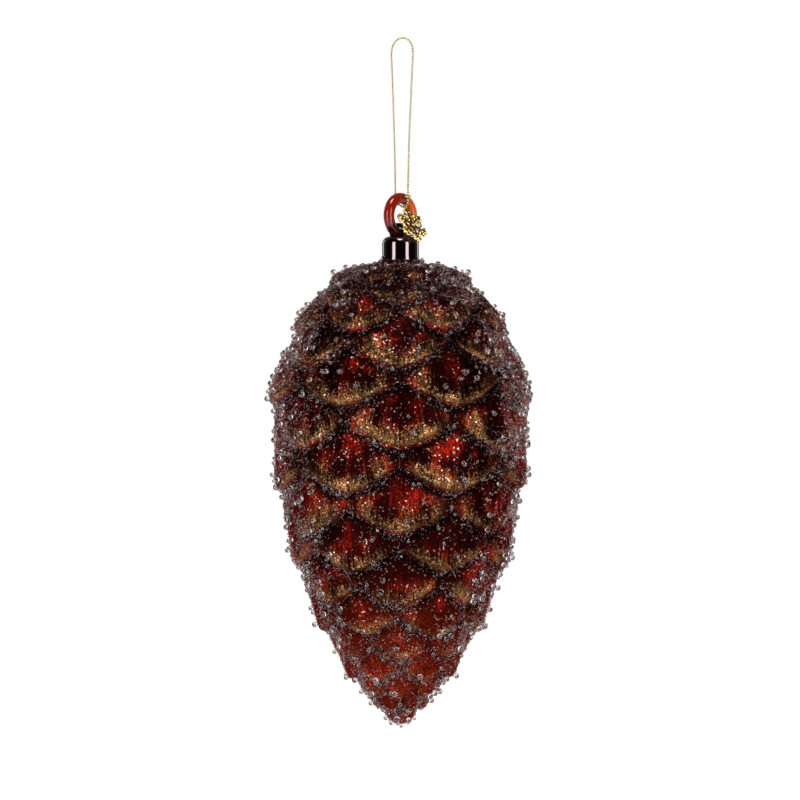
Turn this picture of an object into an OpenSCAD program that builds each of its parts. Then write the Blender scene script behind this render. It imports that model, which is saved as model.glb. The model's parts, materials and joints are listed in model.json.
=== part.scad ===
// Pine cone ornament, hung by a metallic thread.
// A moulded cone with overlapping ribbed scales, a domed cap with an eye, a ring through that eye,
// a thread looped through the ring, a cast snowflake on the thread, and glass beads on the scales.
// Origin: the inside of the ring's top, where the thread bears. +Z is up and the cone hangs below.
// The ring lies in the XZ plane, so the thread passes through it along Y.

/* [Cone] */
// Height of the cone from its crown to its tip
cone_length = 149; // [110:1:190]
// Largest radius, measured over the tips of the scales
cone_radius = 42; // [32:0.5:50]
// Radius of the flat crown round the cap
crown_radius = 8; // [6.5:0.25:10]
// Depth below the crown at which the cone is widest
shoulder_depth = 44; // [34:0.5:54]
// Roundness of the shoulder, where a larger figure is squarer
shoulder_power = 1.35; // [1.2:0.05:1.7]
// How long the cone keeps its width below the shoulder
taper_power = 2.1; // [1.8:0.05:2.6]
// Bluntness of the tip, where a smaller figure is blunter
taper_sharpness = 0.74; // [0.66:0.02:0.9]

/* [Scales] */
// Scales in each row round the cone
scales_per_row = 7; // [6:1:9]
// Spacing of the rows at the very tip
row_pitch_base = 3.4; // [3.2:0.1:4.4]
// Growth of that spacing for each millimetre of radius
row_pitch_growth = 0.2475; // [0.2125:0.0025:0.27]
// Distance along the surface from the axis to the tips of the first row
first_row = 17.75; // [14:0.25:19]
// Height of a scale's tip above the surface that it grows from
scale_rise = 4.6; // [3.2:0.1:5.2]
// How much farther every second row stands out than the rows beside it
row_stand = 1.3; // [0:0.1:1.8]
// Width of the rounded lip along a scale's free edge
lip_width = 2.1; // [1.4:0.1:2.6]
// Width of a scale over its share of the row
scale_spread = 1.08; // [1:0.01:1.15]

/* [Neck] */
// Radius of the neck stub inside the cap
neck_radius = 4.4; // [3.6:0.1:4.5]
// Height of the neck stub above its seat
neck_height = 4.2; // [3:0.1:4.8]

/* [Cap] */
// Outer radius of the cap
cap_radius = 6.1; // [5.9:0.1:7]
// Height of the cap without its eye
cap_height = 7.6; // [7.2:0.1:9]
// Radius of the cap's rounded shoulder
cap_round = 2.4; // [1.2:0.1:2.8]
// Thickness of the eye's plate
eye_plate = 2.4; // [1.8:0.1:3]
// Wall of the eye over the ring
eye_wall = 1.5; // [1.1:0.1:2]

/* [Ring] */
// Radius of the ring's centre line
ring_radius = 5.75; // [5.6:0.05:7]
// Radius of the ring's round section
ring_section = 1.75; // [1.3:0.05:1.8]
// Clearance between the ring and the cap's eye
ring_clearance = 0.3; // [0.2:0.05:0.5]
// Depth to which the ring's foot lies below the cap's top
ring_sunk = 0.9; // [0.4:0.1:1.4]

/* [Thread] */
// Diameter of the twisted thread
thread_d = 0.6; // [0.4:0.05:0.6]
// Radius of the knot over its turns
knot_radius = 1.15; // [0.9:0.05:1.3]

/* [Snowflake] */
// Radius of the snowflake over its arms
flake_radius = 6.2; // [5:0.1:6.6]
// Thickness of the snowflake's plate
flake_plate = 0.7; // [0.5:0.05:0.9]
// Width of a snowflake arm
flake_arm = 0.85; // [0.6:0.05:1.1]
// Radius of the beads at the arm ends
flake_bead = 0.75; // [0.6:0.05:0.85]
// Lean of the snowflake away from the ring
flake_lean = 28; // [26:0.5:34]

/* [Beads] */
// Radius of the largest glass beads
bead_radius = 1; // [0.7:0.05:1.2]
// Depth of the glue film under a bead
glue_film = 0.12; // [0.1:0.02:0.2]

/* [Hidden] */

front_turn = -50;         // a column of scales faces this way, measured round from -Y
scale_reach = 2.7;        // root to tip, in row pitches
scale_sag = 0.7;          // how far the lower edge draws back at its sides, in row pitches
sag_power = 1.45;         // 1 makes that edge a V and 2 a bow
root_share = 0.06;        // a scale's height at its root, as a share of its rise
cross_fall = 0.5;         // how much lower a scale is at its sides
rib_depth = 0.05;         // how far the ribs stand over the troughs, as a share of the height
lip_floor = 0.12;
small_row_radius = 20;    // rows with less than this radius have flatter, plainer scales
small_row_share = 0.3;
broad_row_radius = 30;    // rows with more than this radius have two ribs more
scale_sink = 1.2;         // depth of a scale's root inside the core
last_row_radius = 4.5;
crown_clear = 2.5;        // no scale starts nearer to the axis than this
profile_steps = 44;
core_steps = 20;
core_facets = 28;
bud_radius = 5;
seat_collar = 1.4;        // width of the collar outside the cap
seat_gap = 0.05;
neck_clearance = 0.15;
rim_reach = 0.15;
rim_height = 0.9;

ring_centre_z = -(ring_radius - ring_section);
ring_foot_z = ring_centre_z - ring_radius;
cap_top_z = ring_foot_z - ring_section + ring_sunk;
seat_z = cap_top_z - cap_height;
eye_hole = ring_section + ring_clearance;

// The thread's route: from the knot up the front strand, over the top of the loop, down the back
// strand, under the ring's top, through the snowflake's eyelet and up to the knot again.
knot_place = [0, -3.15, 2.1];
flake_hang = [0, -1.7, -1.05];
thread_route = [
    knot_place + [0, 0, knot_radius + 0.03],
    [0, -3.2, 6], [0, -3.4, 14], [0, -3.8, 24], [0, -4.5, 36], [0, -5.1, 46], [0, -5.2, 48.5],
    [0, -4.6, 51], [0, -2.9, 52.7], [0, -0.7, 53.2], [0, 1.5, 52.7], [0, 3.2, 51],
    [0, 3.8, 48.5], [0, 3.7, 46], [0, 3.2, 36], [0, 2.7, 24], [0, 2.35, 14], [0, 2.2, 6],
    [0, 2.15, 3], [0, 2.15, 1.75], [0, 1.9, 0.75], [0, 1.15, -0.15], [0, 0.1, -0.55],
    [0, -0.8, -1.05], flake_hang, [0, -2.6, -0.5], [0, -3.1, 0.25],
    knot_place - [0, 0, knot_radius + 0.03]];
thread_sides = 8;
thread_ring_gap = 1.8;

knot_strand = 0.4;
eyelet_wall = 0.45;
eyelet_hole = 0.65;
eyelet_plate = 0.6;
eyelet_reach = 0.5;       // centre of the eyelet beyond the snowflake's radius
barb_places = [0.44, 0.72];
barb_reach = [0.32, 0.22];
barb_bead_share = 0.68;

// Meridian of the scale tips: it runs from the axis over the crown and shoulder and down the taper.
function shoulder_point(q) =
    let (depth = shoulder_depth * (1 - cos(90 * q)))
    [crown_radius + (cone_radius - crown_radius) * sqrt(1 - pow(cos(90 * q), shoulder_power)), -depth];
function taper_point(q) =
    let (u = sin(90 * q))
    [cone_radius * pow(max(0, 1 - pow(u, taper_power)), taper_sharpness),
     -shoulder_depth - (cone_length - shoulder_depth) * u];
meridian = concat(
    [[0, 0]],
    [for (i = [0:profile_steps - 1]) shoulder_point(i / profile_steps)],
    [for (i = [0:profile_steps]) taper_point(i / profile_steps)]);
function running_length(i) =
    i == 0 ? [0] : let (before = running_length(i - 1))
    concat(before, [before[i - 1] + norm(meridian[i] - meridian[i - 1])]);
lengths = running_length(len(meridian) - 1);
meridian_length = lengths[len(lengths) - 1];
radius_table = [for (i = [0:len(meridian) - 1]) [lengths[i], meridian[i][0]]];
height_table = [for (i = [0:len(meridian) - 1]) [lengths[i], meridian[i][1]]];

function radius_at(s) = lookup(s, radius_table);
function height_at(s) = lookup(s, height_table);
// Outward normal of the meridian at a length s along it.
function outward(s) =
    let (d = 1.5,
         t = [radius_at(s + d) - radius_at(s - d), height_at(s + d) - height_at(s - d)])
    [-t[1], t[0]] / norm(t);
function rise_at(s) =
    scale_rise * min(1, small_row_share + (1 - small_row_share) * radius_at(s) / small_row_radius);
// A point at angle a, length s and height h above the core.
function on_cone(a, s, h) =
    let (n = outward(s),
         lift = h - rise_at(s),
         r = max(0.05, radius_at(s) + n[0] * lift))
    [r * cos(a), r * sin(a), seat_z + height_at(s) + n[1] * lift];

function row_pitch(s) = row_pitch_base + row_pitch_growth * radius_at(s);
function rows_from(s) =
    (radius_at(s) < last_row_radius && s > meridian_length / 2) || s > meridian_length ? []
    : concat([s], rows_from(s + row_pitch(s)));
row_tips = rows_from(first_row);

// Repeatable scatter between -1 and 1.
function scatter(k) = let (x = sin(k * 78.233) * 437.585) 2 * (x - floor(x)) - 1;
function scale_angle(row, k) =
    front_turn - 90 + (k + (row % 2) / 2) * 360 / scales_per_row + 1.3 * scatter(row * 9 + k);
function scale_tip(row, k) = row_tips[row] + 0.05 * row_pitch(row_tips[row]) * scatter(row * 17 + k * 3);

// A scale's surface: x runs across it from -1 to 1 and y from its root to its free edge, 0 to 1.
half_angle = scale_spread * 180 / scales_per_row;
// Every second row stands proud and the others lie back, by shares of the stand.
function stand_share(row) = row % 2 == 1 ? 0.7 : -0.3;
function lip(d) = d >= lip_width ? 1
    : lip_floor + (1 - lip_floor) * sqrt(max(0, 1 - pow(1 - d / lip_width, 2)));
function scale_span(row, k, x) =
    let (tip = scale_tip(row, k), pitch = row_pitch(tip))
    [max(crown_clear, tip - scale_reach * pitch), tip - scale_sag * pitch * pow(abs(x), sag_power)];
function scale_point(row, k, x, y, rib = 1) =
    let (span = scale_span(row, k, x),
         s = span[0] + (span[1] - span[0]) * y,
         side = (1 - abs(x)) * half_angle * PI / 180 * radius_at(s),
         full = (rise_at(s) + row_stand * stand_share(row) * min(1, radius_at(s) / small_row_radius))
             * (root_share + (1 - root_share) * y),
         fall = (1 - cross_fall * x * x) * (1 - rib_depth * (1 - rib)),
         h = full * fall * lip((span[1] - span[0]) * (1 - y)) * lip(side))
    on_cone(scale_angle(row, k) + x * half_angle, s, h);
function scale_root_point(row, k, x, y) =
    let (span = scale_span(row, k, x), s = span[0] + (span[1] - span[0]) * y)
    on_cone(scale_angle(row, k) + x * half_angle, s, -scale_sink);

// A rib is a flat section of the scale from root to free edge; the scale is hulled from rib to rib.
function rib_section(row, k, x, rib, stations) = concat(
    [for (y = stations) scale_point(row, k, x, y, rib)],
    [scale_root_point(row, k, x, 1), scale_root_point(row, k, x, stations[0])]);

module cone_scale(row, k) {
    broad = radius_at(row_tips[row]) > broad_row_radius;
    across = broad ? [-1, -0.9, -0.62, -0.31, 0, 0.31, 0.62, 0.9, 1] : [-1, -0.8, -0.4, 0, 0.4, 0.8, 1];
    stations = broad ? [0.2, 0.62, 0.92, 0.975, 1] : [0.2, 0.6, 0.92, 1];
    last = len(across) - 1;
    for (i = [0:last - 1]) {
        points = concat(rib_section(row, k, across[i], i % 2, stations),
                        rib_section(row, k, across[i + 1], (i + 1) % 2, stations));
        hull()
            polyhedron(points = points, faces = [[for (p = [0:len(points) - 1]) p]]);
    }
}

module cone_core() {
    outline = [for (s = [crown_clear:meridian_length / core_steps:meridian_length])
        let (n = outward(s), drop = rise_at(s))
        [max(0.1, radius_at(s) - n[0] * drop), height_at(s) - n[1] * drop]];
    end_z = outline[len(outline) - 1][1];
    translate([0, 0, seat_z])
        rotate_extrude($fn = core_facets)
            polygon(concat([[0, outline[0][1]]], outline, [[0, end_z]]));
}

// The crown under the cap, with the neck that the cap is pushed over.
module crown_and_neck() {
    collar = cap_radius + seat_collar;
    translate([0, 0, seat_z - scale_rise - 3])
        cylinder(r1 = collar + 2, r2 = collar, h = scale_rise + 3, $fn = core_facets);
    translate([0, 0, seat_z - 1])
        cylinder(r = neck_radius, h = neck_height + 1, $fn = core_facets);
}

module end_bud() {
    translate([0, 0, seat_z - cone_length + bud_radius])
        sphere(r = bud_radius, $fn = 24);
}

module pine_cone() {
    color([0.36, 0.09, 0.05])
    union() {
        cone_core();
        crown_and_neck();
        end_bud();
        for (row = [0:len(row_tips) - 1])
            for (k = [0:scales_per_row - 1])
                cone_scale(row, k);
    }
}

// The round shell of the cap, with a rounded shoulder and a small rim at its foot.
module cap_shell() {
    wall = cap_radius - rim_reach;
    height = cap_height - seat_gap;
    translate([0, 0, seat_z + seat_gap])
        rotate_extrude($fn = 96)
            union() {
                square([wall - cap_round, height]);
                square([wall, height - cap_round]);
                square([cap_radius, rim_height]);
                translate([wall - cap_round, height - cap_round])
                    circle(r = cap_round);
            }
}

// A plate that stands on the cap, across the ring.
module cap_eye() {
    translate([-eye_plate / 2, 0, ring_foot_z])
        rotate([0, 90, 0])
            cylinder(r = eye_hole + eye_wall, h = eye_plate, $fn = 64);
}

module cap() {
    color([0.12, 0.02, 0.02])
    difference() {
        union() {
            cap_shell();
            cap_eye();
        }
        translate([0, 0, seat_z - 1])
            cylinder(r = neck_radius + neck_clearance, h = neck_height + neck_clearance + 1, $fn = 64);
        ring_torus(ring_section + ring_clearance);
    }
}

module ring_torus(section) {
    translate([0, 0, ring_centre_z])
        rotate([90, 0, 0])
            rotate_extrude($fn = 96)
                translate([ring_radius, 0])
                    circle(r = section, $fn = 48);
}

module hang_ring() {
    color([0.66, 0.24, 0.08])
    ring_torus(ring_section);
}

// A point of a smooth curve through four neighbours, at t between the middle two.
function blend_point(a, b, c, d, t) =
    0.5 * (2 * b + (c - a) * t + (2 * a - 5 * b + 4 * c - d) * t * t + (3 * b - a - 3 * c + d) * t * t * t);
function smooth_route(p) =
    let (n = len(p))
    concat([for (i = [0:n - 2])
        let (steps = max(1, ceil(norm(p[i + 1] - p[i]) / thread_ring_gap)))
        for (j = [0:steps - 1])
            blend_point(p[max(0, i - 1)], p[i], p[i + 1], p[min(n - 1, i + 2)], j / steps)],
        [p[n - 1]]);

module hanging_thread() {
    path = smooth_route(thread_route);
    n = len(path);
    across = [1, 0, 0];
    points = [for (i = [0:n - 1])
        let (along = path[min(n - 1, i + 1)] - path[max(0, i - 1)],
             side = cross(along, across) / norm(along))
        for (j = [0:thread_sides - 1])
            let (turn = (j + 0.5) * 360 / thread_sides)
            path[i] + thread_d / 2 * (cos(turn) * across + sin(turn) * side)];
    walls = [for (i = [0:n - 2]) for (j = [0:thread_sides - 1])
        let (a = i * thread_sides + j, b = i * thread_sides + (j + 1) % thread_sides)
        each [[a, b, b + thread_sides], [a, b + thread_sides, a + thread_sides]]];
    ends = [[for (j = [thread_sides - 1:-1:0]) j],
            [for (j = [0:thread_sides - 1]) (n - 1) * thread_sides + j]];
    color([0.83, 0.68, 0.33])
    polyhedron(points = points, faces = concat(walls, ends));
}

module thread_knot() {
    color([0.83, 0.68, 0.33])
    translate(knot_place)
        rotate([90, 0, 0])
            rotate_extrude($fn = 48)
                translate([knot_radius - knot_strand, 0])
                    circle(r = knot_strand, $fn = 24);
}

// One arm points along +Z from the snowflake's centre.
module flake_arm_outline() {
    translate([-flake_arm / 2, 0])
        square([flake_arm, flake_radius]);
    for (i = [0:len(barb_places) - 1])
        for (side = [-60, 60])
            translate([0, barb_places[i] * flake_radius])
                rotate(side)
                    translate([-flake_arm / 2, 0])
                        square([flake_arm, barb_reach[i] * flake_radius]);
}

module flake_arm_relief(tip_bead) {
    cylinder(r = flake_arm * 0.55, h = flake_radius - 0.2, $fn = 32);
    for (i = [0:len(barb_places) - 1])
        for (side = [-60, 60])
            translate([0, 0, barb_places[i] * flake_radius])
                rotate([0, side, 0])
                    translate([0, 0, barb_reach[i] * flake_radius])
                        sphere(r = flake_bead * barb_bead_share, $fn = 32);
    if (tip_bead)
        translate([0, 0, flake_radius - flake_bead])
            sphere(r = flake_bead, $fn = 32);
}

module snowflake_charm() {
    color([0.80, 0.62, 0.26])
    translate(flake_hang)
        rotate([-flake_lean, 0, 0])
            difference() {
                translate([0, 0, -flake_radius - eyelet_reach])
                    union() {
                        rotate([90, 0, 0])
                            linear_extrude(height = flake_plate, center = true)
                                union() {
                                    for (arm = [0:5])
                                        rotate(60 * arm)
                                            flake_arm_outline();
                                }
                        for (arm = [0:5])
                            rotate([0, 60 * arm, 0])
                                flake_arm_relief(arm > 0);
                        sphere(r = 1.2 * flake_bead, $fn = 32);
                        translate([0, 0, flake_radius + eyelet_reach])
                            rotate([90, 0, 0])
                                cylinder(r = eyelet_hole + eyelet_wall, h = eyelet_plate, center = true, $fn = 48);
                    }
                rotate([90, 0, 0])
                    cylinder(r = eyelet_hole, h = 4, center = true, $fn = 48);
            }
}

// A bead rests on a scale's face by its film of glue.
module glued_bead(row, k, x, y, r) {
    surface = scale_point(row, k, x, y);
    a = scale_angle(row, k) + x * half_angle;
    n = outward(scale_tip(row, k) - (1 - y) * scale_reach * row_pitch(scale_tip(row, k)));
    translate(surface + (r + glue_film) * [n[0] * cos(a), n[0] * sin(a), n[1]])
        sphere(r = r, $fn = 24);
}

module glass_beads() {
    color([0.85, 0.83, 0.80])
    for (row = [1:len(row_tips) - 2])
        for (k = [0:scales_per_row - 1]) {
            glued_bead(row, k, 0.42 * scatter(row * 5 + k * 7), 0.86 + 0.03 * scatter(row + k * 11),
                       bead_radius * (0.85 + 0.15 * scatter(row * 3 + k * 13)));
            if (radius_at(row_tips[row]) > small_row_radius)
                glued_bead(row, k, 0.5 * scatter(row * 7 + k * 5), 0.71 + 0.03 * scatter(row + k * 17),
                           bead_radius * (0.8 + 0.15 * scatter(row * 11 + k * 3)));
        }
}

pine_cone();
cap();
hang_ring();
hanging_thread();
thread_knot();
snowflake_charm();
glass_beads();
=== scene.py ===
import json
import math

import bmesh
import bpy
import numpy as np
from mathutils import Matrix, Vector, kdtree, noise

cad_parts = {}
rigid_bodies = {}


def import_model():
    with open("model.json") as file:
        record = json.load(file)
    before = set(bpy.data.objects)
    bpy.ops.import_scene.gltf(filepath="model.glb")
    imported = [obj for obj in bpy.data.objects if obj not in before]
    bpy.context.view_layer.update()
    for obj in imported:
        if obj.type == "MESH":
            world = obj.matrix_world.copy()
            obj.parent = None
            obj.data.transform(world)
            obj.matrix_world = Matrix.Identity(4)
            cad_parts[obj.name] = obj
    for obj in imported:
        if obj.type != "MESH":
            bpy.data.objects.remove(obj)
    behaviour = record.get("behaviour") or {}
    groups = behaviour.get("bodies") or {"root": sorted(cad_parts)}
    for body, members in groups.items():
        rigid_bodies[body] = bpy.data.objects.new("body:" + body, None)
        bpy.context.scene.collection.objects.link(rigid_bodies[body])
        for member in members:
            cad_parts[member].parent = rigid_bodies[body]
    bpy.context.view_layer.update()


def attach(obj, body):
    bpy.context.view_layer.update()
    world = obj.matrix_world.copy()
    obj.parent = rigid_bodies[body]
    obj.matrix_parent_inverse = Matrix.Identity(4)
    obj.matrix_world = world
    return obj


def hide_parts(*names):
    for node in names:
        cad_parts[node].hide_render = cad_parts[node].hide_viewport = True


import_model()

mm = 0.001


# helpers for node trees
class Num:
    # a socket that can be added, multiplied and so on, each step being a Math node
    def __init__(self, tree, socket):
        self.tree = tree
        self.socket = socket

    def step(self, operation, *others):
        node = self.tree.nodes.new("ShaderNodeMath")
        node.operation = operation
        for place, value in zip(node.inputs, (self, *others)):
            if isinstance(value, Num):
                self.tree.links.new(value.socket, place)
            else:
                place.default_value = value
        return Num(self.tree, node.outputs[0])

    def __add__(self, other):
        return self.step("ADD", other)

    def __radd__(self, other):
        return self.step("ADD", other)

    def __sub__(self, other):
        return self.step("SUBTRACT", other)

    def __rsub__(self, other):
        return self.step("MULTIPLY", -1.0).step("ADD", other)

    def __mul__(self, other):
        return self.step("MULTIPLY", other)

    def __rmul__(self, other):
        return self.step("MULTIPLY", other)

    def __truediv__(self, other):
        return self.step("DIVIDE", other)

    def __pow__(self, other):
        return self.step("POWER", other)

    def size(self):
        return self.step("ABSOLUTE")

    def atMost(self, other):
        return self.step("MINIMUM", other)

    def atLeast(self, other):
        return self.step("MAXIMUM", other)

    def sine(self):
        return self.step("SINE")

    def cosine(self):
        return self.step("COSINE")

    def ramp(self, low, high):
        # smooth step from 0 at low to 1 at high
        node = self.tree.nodes.new("ShaderNodeMapRange")
        node.interpolation_type = "SMOOTHSTEP"
        for name, value in (("Value", self), ("From Min", low), ("From Max", high)):
            if isinstance(value, Num):
                self.tree.links.new(value.socket, node.inputs[name])
            else:
                node.inputs[name].default_value = value
        return Num(self.tree, node.outputs["Result"])

    def blendTo(self, other, share):
        return self * (1.0 - share) + other * share


class Nodes:
    # a node tree whose nodes get their inputs by name
    def set(self, node, inputs):
        for label, value in inputs.items():
            place = node.inputs[label.replace("_", " ") if isinstance(label, str) else label]
            if isinstance(value, Num):
                value = value.socket
            if isinstance(value, bpy.types.NodeSocket):
                self.tree.links.new(value, place)
            elif isinstance(value, tuple) and len(value) == 3 and place.type == "RGBA":
                place.default_value = (*value, 1)
            else:
                place.default_value = value

    def node(self, kind, inputs=None, **settings):
        made = self.tree.nodes.new(kind)
        for key, value in settings.items():
            setattr(made, key, value)
        self.set(made, inputs or {})
        return made

    def vector(self, operation, inputs):
        return self.node("ShaderNodeVectorMath", inputs, operation=operation).outputs[0]


class Tree(Nodes):
    # a geometry node tree with named inputs
    def __init__(self, name, **inputs):
        self.tree = bpy.data.node_groups.new(name, "GeometryNodeTree")
        face = self.tree.interface
        face.new_socket("Geometry", in_out="OUTPUT", socket_type="NodeSocketGeometry")
        face.new_socket("Geometry", in_out="INPUT", socket_type="NodeSocketGeometry")
        self.ids = {}
        self.values = inputs
        kinds = {float: "NodeSocketFloat", int: "NodeSocketInt"}
        for label, value in inputs.items():
            kind = kinds.get(type(value))
            if kind is None:
                kind = "NodeSocketMaterial" if isinstance(value, bpy.types.Material) else "NodeSocketObject"
            socket = face.new_socket(label, in_out="INPUT", socket_type=kind)
            self.ids[label] = socket.identifier
        self.start = self.tree.nodes.new("NodeGroupInput")
        self.end = self.tree.nodes.new("NodeGroupOutput")

    def num(self, label):
        return Num(self.tree, self.start.outputs[label])

    def attribute(self, name):
        made = self.node("GeometryNodeInputNamedAttribute", {"Name": name}, data_type="FLOAT")
        return Num(self.tree, made.outputs["Attribute"])

    def store(self, geometry, name, value):
        made = self.node("GeometryNodeStoreNamedAttribute", {
            "Geometry": geometry, "Name": name, "Value": value}, data_type="FLOAT", domain="POINT")
        return made.outputs["Geometry"]

    def finish(self, geometry):
        self.tree.links.new(geometry, self.end.inputs["Geometry"])

    def finishSmooth(self, geometry):
        # plain geometry, shaded smooth, in the material that the tree was given
        whole = self.node("GeometryNodeRealizeInstances", {"Geometry": geometry})
        smooth = self.node("GeometryNodeSetShadeSmooth", {"Geometry": whole.outputs[0]})
        done = self.node("GeometryNodeSetMaterial", {
            "Geometry": smooth.outputs[0], "Material": self.num("Material")})
        self.finish(done.outputs[0])

    def apply(self, source, name):
        # runs the tree on source and returns the result as a plain mesh object
        modifier = source.modifiers.new("shape", "NODES")
        modifier.node_group = self.tree
        for label, value in self.values.items():
            modifier[self.ids[label]] = value
        bpy.context.view_layer.update()
        evaluated = source.evaluated_get(bpy.context.evaluated_depsgraph_get())
        mesh = bpy.data.meshes.new_from_object(evaluated)
        source.modifiers.remove(modifier)
        return linked(name, mesh)


def linked(name, data):
    made = bpy.data.objects.new(name, data)
    bpy.context.scene.collection.objects.link(made)
    return made


def dropObject(made):
    bpy.data.objects.remove(made)


def readPoints(mesh):
    co = np.zeros(len(mesh.vertices) * 3)
    mesh.vertices.foreach_get("co", co)
    return co.reshape(-1, 3)


def storeValues(mesh, name, values):
    # one number for each point
    layer = mesh.attributes.new(name, "FLOAT", "POINT")
    layer.data.foreach_set("value", values.astype(np.float32))


def countTriangles(made):
    made.data.calc_loop_triangles()
    return len(made.data.loop_triangles)


def sharpen(made, degrees):
    # smooth shading that keeps edges sharper than this angle
    made.data.polygons.foreach_set("use_smooth", [True] * len(made.data.polygons))
    made.data.set_sharp_from_angle(angle=math.radians(degrees))


def linkedMesh(name, mesh):
    # turns a bmesh into an object
    data = bpy.data.meshes.new(name)
    mesh.to_mesh(data)
    mesh.free()
    return linked(name, data)


def latheMesh(name, profile, sides, centre=(0, 0, 0)):
    # closed body turned about Z from (radius, height) pairs that start and end on the axis
    onAxis = 1e-9
    x, y, foot = centre
    mesh = bmesh.new()
    turns = [2 * math.pi * k / sides for k in range(sides)]
    rings = []
    for r, z in profile:
        places = [(x + r * math.cos(t), y + r * math.sin(t), foot + z) for t in turns]
        if r < onAxis:
            places = [(x, y, foot + z)]
        rings.append([mesh.verts.new(place) for place in places])
    for lower, upper in zip(rings, rings[1:]):
        for k in range(sides):
            n = (k + 1) % sides
            if len(lower) == 1:
                mesh.faces.new((lower[0], upper[n], upper[k]))
            elif len(upper) == 1:
                mesh.faces.new((lower[k], lower[n], upper[0]))
            else:
                mesh.faces.new((lower[k], lower[n], upper[n], upper[k]))
    bmesh.ops.recalc_face_normals(mesh, faces=mesh.faces)
    return linkedMesh(name, mesh)


# the cone: the same rows, spacing and outline as in the part's source, in millimetres
coneSettings = {
    "length": 149.0, "radius": 42.0, "crownRadius": 8.0, "shoulderDepth": 44.0, "shoulderPower": 1.35,
    "taperPower": 2.1, "taperSharpness": 0.74, "perRow": 7, "pitchBase": 3.4, "pitchGrowth": 0.2475,
    "firstRow": 17.75, "lastRadius": 4.5, "budRadius": 5.0, "frontTurn": -50.0, "spread": 1.08,
    "seatZ": -18.2, "turnScatter": 1.3, "tipScatter": 0.05, "oddStand": 0.7, "evenStand": -0.3,
    "coreStep": 3.5, "slopeReach": 1.5, "sides": 64, "budSides": 40, "budSteps": 20,
    "voxel": 0.45, "triangles": 186000, "sharpAngle": 70,
}
crownSettings = {
    "footRadius": 9.5, "depth": 7.6, "rimRadius": 7.5, "rimDrop": 0.5, "seatRadius": 7.0,
    "neckRadius": 4.4, "neckHeight": 4.2, "neckBevel": 0.3,
}
scaleSettings = {
    "Reach": 2.7, "Sag": 0.7, "Sag Power": 1.45, "Rise": 4.6, "Row Stand": 1.3, "Root Share": 0.06,
    "Lip Width": 2.6, "Lip Thickness": 1.5, "Side Fall": 0.5, "Small Row": 20.0, "Small Share": 0.3,
    "Crown Clear": 2.5, "Sink": 1.2, "Ribs": 11.0, "Rib Depth": 0.16, "Ridge": 0.5, "Columns": 25, "Rows": 24,
}
scaleForm = {
    "columnBunch": 0.46, "rowBunch": 1.5, "noiseSteps": (2.3, 2.0, 3.7), "noiseScale": 1.6,
    "noiseDetail": 3.0, "edgeWobble": 0.1, "ribWobble": 2.4, "skinWobble": 1.1, "lipFoot": 0.12,
    "fanRoot": 0.25, "ridgeNarrow": 4.0, "ridgeEnd": (0.6, 1.0), "ribStart": (0.25, 0.5),
    "fullRibRadius": 18.0, "underStart": (0.62, 0.86), "leastUnder": 0.2, "underShare": 0.9,
    "leastRadius": 0.05,
}
scaleFields = ("scaleAngle", "tipLength", "rowPitch", "scaleId", "stand")


def meridianPoints(c, steps=60):
    points = [(0.0, 0.0)]
    for i in range(steps):
        fall = math.cos(math.radians(90 * i / steps))
        reach = math.sqrt(1 - fall ** c["shoulderPower"])
        r = c["crownRadius"] + (c["radius"] - c["crownRadius"]) * reach
        points.append((r, -c["shoulderDepth"] * (1 - fall)))
    for i in range(steps + 1):
        u = math.sin(math.radians(90 * i / steps))
        r = c["radius"] * max(0.0, 1 - u ** c["taperPower"]) ** c["taperSharpness"]
        points.append((r, -c["shoulderDepth"] - (c["length"] - c["shoulderDepth"]) * u))
    return np.array(points)


def scatter(k):
    # a number between -1 and 1 that is always the same for the same k
    x = math.sin(math.radians(k * 78.233)) * 437.585
    return 2 * (x - math.floor(x)) - 1


meridian = meridianPoints(coneSettings)
meridianRun = np.r_[0, np.cumsum(np.linalg.norm(np.diff(meridian, axis=0), axis=1))]


def radiusAt(s):
    return float(np.interp(s, meridianRun, meridian[:, 0]))


def heightAt(s):
    return float(np.interp(s, meridianRun, meridian[:, 1]))


def pitchAt(c, s):
    return c["pitchBase"] + c["pitchGrowth"] * radiusAt(s)


def rowTips(c):
    tips = []
    s = c["firstRow"]
    while s < meridianRun[-1] and not (radiusAt(s) < c["lastRadius"] and s > meridianRun[-1] / 2):
        tips.append(s)
        s += pitchAt(c, s)
    return tips


def scaleTable(c):
    # one line per scale, with its values in the order of scaleFields
    table = []
    for row, tip in enumerate(rowTips(c)):
        pitch = pitchAt(c, tip)
        stand = c["oddStand"] if row % 2 else c["evenStand"]
        for k in range(c["perRow"]):
            angle = c["frontTurn"] - 90 + (k + (row % 2) / 2) * 360 / c["perRow"]
            angle += c["turnScatter"] * scatter(row * 9 + k)
            ownTip = tip + c["tipScatter"] * pitch * scatter(row * 17 + k * 3)
            table.append((math.radians(angle), ownTip, pitchAt(c, ownTip), row * c["perRow"] + k, stand))
    return np.array(table)


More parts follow.
